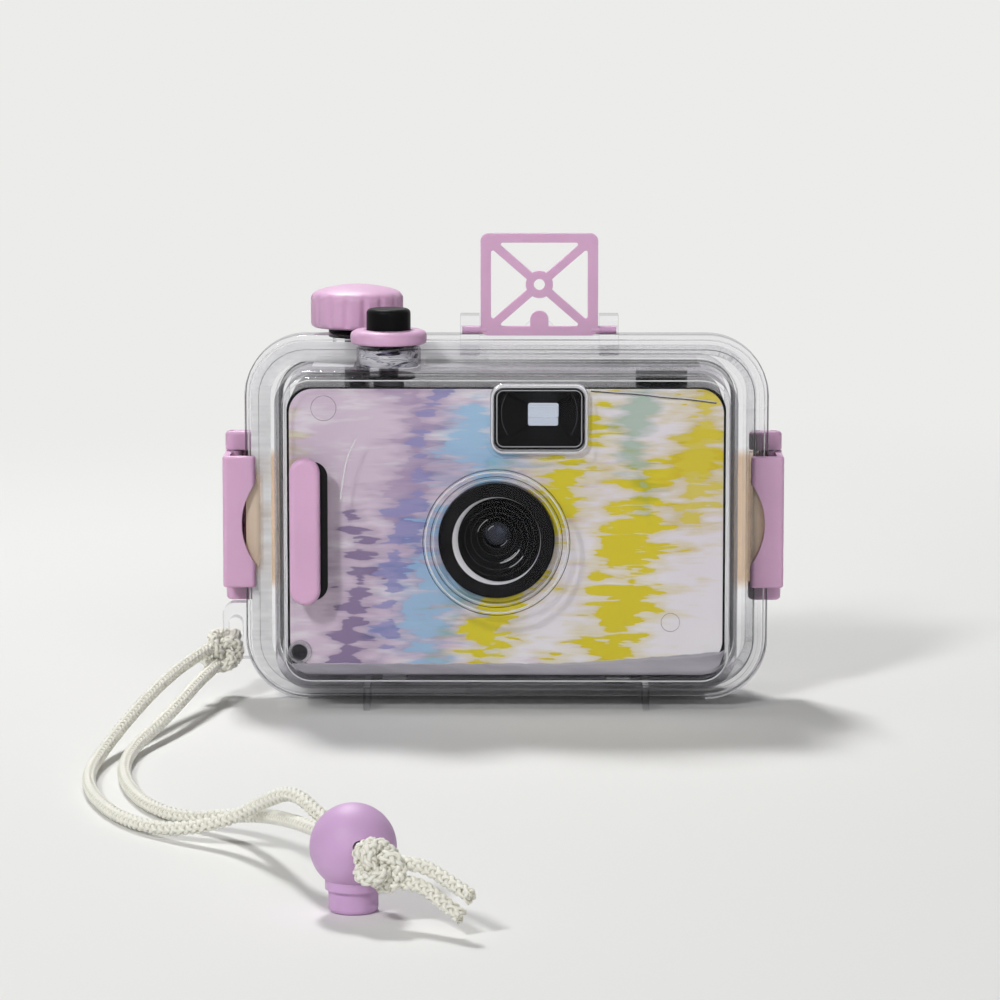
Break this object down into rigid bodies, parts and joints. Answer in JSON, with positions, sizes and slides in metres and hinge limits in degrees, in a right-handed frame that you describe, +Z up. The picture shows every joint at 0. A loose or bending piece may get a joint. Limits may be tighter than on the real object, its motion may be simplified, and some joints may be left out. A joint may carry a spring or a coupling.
{
  "type": "underwater camera",
  "caption": "Film camera in a clear two-shell waterproof housing with side latches, folding sight frame, wind knob, push button and a braided lanyard with a ball cord lock.",
  "frame": {"origin": "on the surface that the housing stands on, under the middle of its flange", "axes": "+X along the housing's width, to the right of someone who faces the lens; +Y from the lens to the back; +Z up"},
  "size_m": [0.167, 0.2812, 0.1186],
  "materials": {
    "clear_plastic": "clear, faintly tinted",
    "pink_plastic": "satin lilac pink",
    "black_plastic": "matt black",
    "dark_gloss_plastic": "gloss black",
    "black_rubber": "matt",
    "silicone": "translucent white",
    "steel": "bright",
    "silver": "satin silver",
    "cord": "braided off-white",
    "print": "printed, tie-dye pattern",
    "lens_glass": "clear",
    "grey_plastic": "satin grey"
  },
  "bodies": {
    "housing": {"front_shell": "clear_plastic", "back_shell": "clear_plastic", "main_seal": "silicone", "shutter_collar": "pink_plastic", "shutter_o_ring": "silicone", "shutter_spring": "steel", "wind_bush": "black_plastic", "wind_seal": "silicone", "grip_base": "black_rubber", "grip_cap": "pink_plastic", "lug_knot": "cord", "end_knot": "cord", "lock_ball": "pink_plastic", "lock_spring": "steel", "camera_body": "black_plastic", "camera_top_cover": "dark_gloss_plastic", "camera_back_door": "black_plastic", "print_panel": "print", "camera_screw": "steel", "lens_ring": "black_plastic", "lens_bezel": "silver", "lens_cone": "black_plastic", "lens_holder": "black_plastic", "lens_element": "lens_glass", "shutter_pin": "steel", "viewfinder_rim": "silver", "viewfinder_frame": "black_plastic", "viewfinder_front_lens": "lens_glass", "viewfinder_eyepiece": "lens_glass", "release_spring": "steel", "pressure_plate": "black_plastic", "pressure_spring": "steel", "left_rail_pin": "steel", "right_rail_pin": "steel", "strand_a": "cord", "strand_b": "cord", "tail_a": "cord", "tail_b": "cord"},
    "right_link": {"right_latch_link": "pink_plastic", "right_lever_pin": "steel"},
    "right_lever": {"right_latch_lever": "pink_plastic"},
    "left_link": {"left_latch_link": "pink_plastic", "left_lever_pin": "steel"},
    "left_lever": {"left_latch_lever": "pink_plastic"},
    "sight": {"sight_frame": "pink_plastic"},
    "press": {"shutter_button": "black_plastic", "shutter_plunger": "black_plastic"},
    "camera_press": {"release_button": "grey_plastic"},
    "wind": {"wind_knob": "pink_plastic", "wind_shaft": "steel", "wind_clip": "steel"},
    "wheel": {"advance_wheel": "black_plastic"},
    "spool": {"take_up_spool": "grey_plastic", "spool_gear": "grey_plastic"},
    "sprocket": {"sprocket_shaft": "black_plastic"},
    "counter": {"counter_disc": "grey_plastic"},
    "rewind": {"rewind_knob": "black_plastic"},
    "blade": {"shutter_blade": "steel"},
    "lock": {"lock_button": "pink_plastic"}
  },
  "joints": [
    {"name": "right_link_swing", "type": "hinge", "parent": "housing", "child": "right_link", "pos_m": [0.0636, 0.0085, 0.04565], "axis": [0, 0, 1], "range_deg": [0, 60]},
    {"name": "right_lever_swing", "type": "hinge", "parent": "right_link", "child": "right_lever", "pos_m": [0.0679, 0.0085, 0.04565], "axis": [0, 0, 1], "range_deg": [0, 100]},
    {"name": "left_link_swing", "type": "hinge", "parent": "housing", "child": "left_link", "pos_m": [-0.0653, 0.0085, 0.04565], "axis": [0, 0, -1], "range_deg": [0, 60]},
    {"name": "left_lever_swing", "type": "hinge", "parent": "left_link", "child": "left_lever", "pos_m": [-0.0696, 0.0085, 0.04565], "axis": [0, 0, -1], "range_deg": [0, 100]},
    {"name": "sight_fold", "type": "hinge", "parent": "housing", "child": "sight", "pos_m": [0.0082, -0.0046, 0.0944], "axis": [1, 0, 0], "range_deg": [0, 90]},
    {"name": "shutter_press", "type": "slide", "parent": "housing", "child": "press", "axis": [0, 0, -1], "range_m": [0, 0.0015], "stiffness_N_per_m": 600, "springref_m": -0.001, "deforming": ["shutter_spring"]},
    {"name": "camera_release", "type": "slide", "parent": "housing", "child": "camera_press", "axis": [0, 0, -1], "range_m": [0, 0.0015], "stiffness_N_per_m": 200, "springref_m": -0.001, "deforming": ["release_spring"]},
    {"name": "wind_turn", "type": "hinge", "parent": "housing", "child": "wind", "pos_m": [-0.038, 0.0095, 0.09], "axis": [0, 0, 1], "continuous": true},
    {"name": "wheel_turn", "type": "hinge", "parent": "housing", "child": "wheel", "pos_m": [-0.038, 0.0095, 0.075], "axis": [0, 0, 1], "continuous": true},
    {"name": "spool_turn", "type": "hinge", "parent": "housing", "child": "spool", "pos_m": [-0.038, -0.0001, 0.044], "axis": [0, 0, 1], "continuous": true},
    {"name": "sprocket_turn", "type": "hinge", "parent": "housing", "child": "sprocket", "pos_m": [-0.0265, 0.0027, 0.044], "axis": [0, 0, 1], "continuous": true},
    {"name": "counter_turn", "type": "hinge", "parent": "housing", "child": "counter", "pos_m": [-0.0265, 0.0027, 0.0797], "axis": [0, 0, 1], "continuous": true},
    {"name": "rewind_turn", "type": "hinge", "parent": "housing", "child": "rewind", "pos_m": [0.039, -0.0001, 0.082], "axis": [0, 0, 1], "continuous": true},
    {"name": "shutter_swing", "type": "hinge", "parent": "housing", "child": "blade", "pos_m": [0.00236, -0.00935, 0.04635], "axis": [0, 1, 0], "range_deg": [0, 60], "stiffness_Nm_per_rad": 0.00005, "springref_deg": -22.92},
    {"name": "lock_press", "type": "slide", "parent": "housing", "child": "lock", "axis": [0, 0, 1], "range_m": [0, 0.002], "stiffness_N_per_m": 900, "springref_m": -0.001, "deforming": ["lock_spring"]}
  ],
  "couplings": [
    {"joint": "camera_release", "follows": "shutter_press", "ratio": 1},
    {"joint": "wheel_turn", "follows": "wind_turn", "ratio": 1},
    {"joint": "spool_turn", "follows": "wind_turn", "ratio": -0.77778},
    {"joint": "counter_turn", "follows": "sprocket_turn", "ratio": 0.027778}
  ]
}
